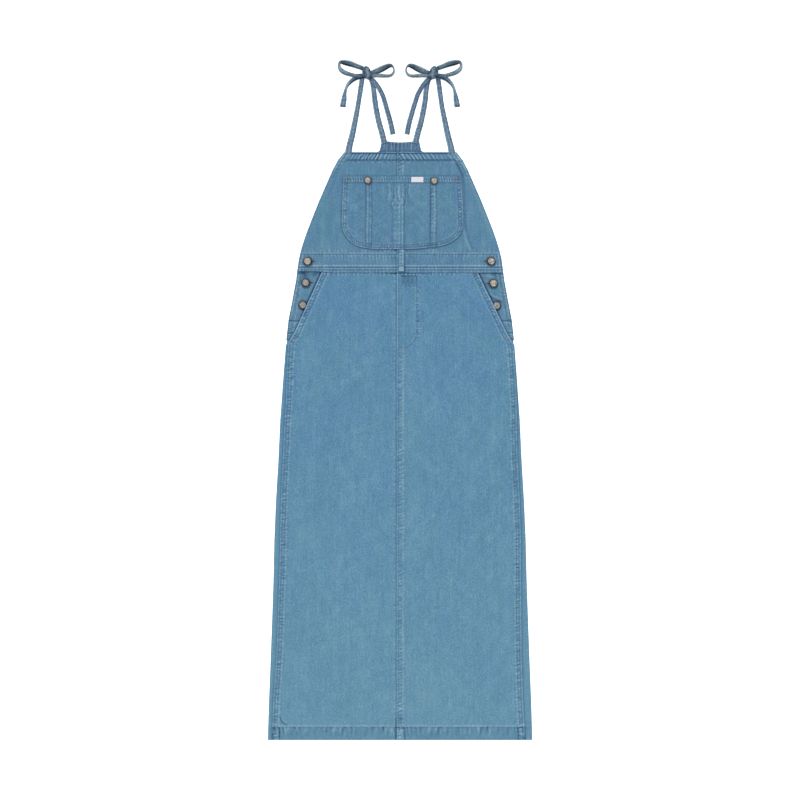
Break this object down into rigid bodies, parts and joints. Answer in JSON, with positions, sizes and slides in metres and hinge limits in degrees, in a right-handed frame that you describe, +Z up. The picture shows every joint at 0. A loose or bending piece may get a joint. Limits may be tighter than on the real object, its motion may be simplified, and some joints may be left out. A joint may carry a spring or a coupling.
{
  "type": "denim pinafore dress",
  "caption": "Sleeveless denim pinafore dress with a bib pocket, side buttons and shoulder straps tied in bows, laid flat and front up.",
  "frame": {"origin": "the middle of the laid-out garment, on the surface it rests on", "axes": "+Y from the hem to the shoulders, +Z up out of the front of the garment, +X to the right as the front is seen"},
  "size_m": [0.528, 1.3606, 0.0116],
  "materials": {
    "denim": "washed mid-blue cotton denim, matt, worn at the seams",
    "denim_inside": "the darker side of the same denim, matt",
    "pewter": "warm pewter-coloured button with a darker rim",
    "white_woven": "white woven tape"
  },
  "bodies": {
    "root": {"skirt_back": "denim", "skirt_front_left": "denim", "skirt_front_right": "denim", "side_facing_left": "denim", "side_facing_right": "denim", "waistband_back": "denim", "waistband_front": "denim", "waist_centre_loop": "denim", "bib_back": "denim_inside", "bib_front_left": "denim", "bib_front_right": "denim", "bib_pocket": "denim", "pocket_label": "white_woven", "rivet_button_left": "pewter", "rivet_button_right": "pewter", "waist_button_left": "pewter", "waist_button_right": "pewter", "side_button_upper_left": "pewter", "side_button_upper_right": "pewter", "side_button_lower_left": "pewter", "side_button_lower_right": "pewter", "front_strap_left": "denim", "front_strap_right": "denim", "back_strap_left": "denim", "back_strap_right": "denim", "bow_knot_left": "denim", "bow_knot_right": "denim", "bow_loop_outer_left": "denim", "bow_loop_outer_right": "denim", "bow_loop_inner_left": "denim", "bow_loop_inner_right": "denim", "bow_tail_outer_left": "denim", "bow_tail_outer_right": "denim", "bow_tail_inner_left": "denim", "bow_tail_inner_right": "denim"}
  },
  "joints": []
}
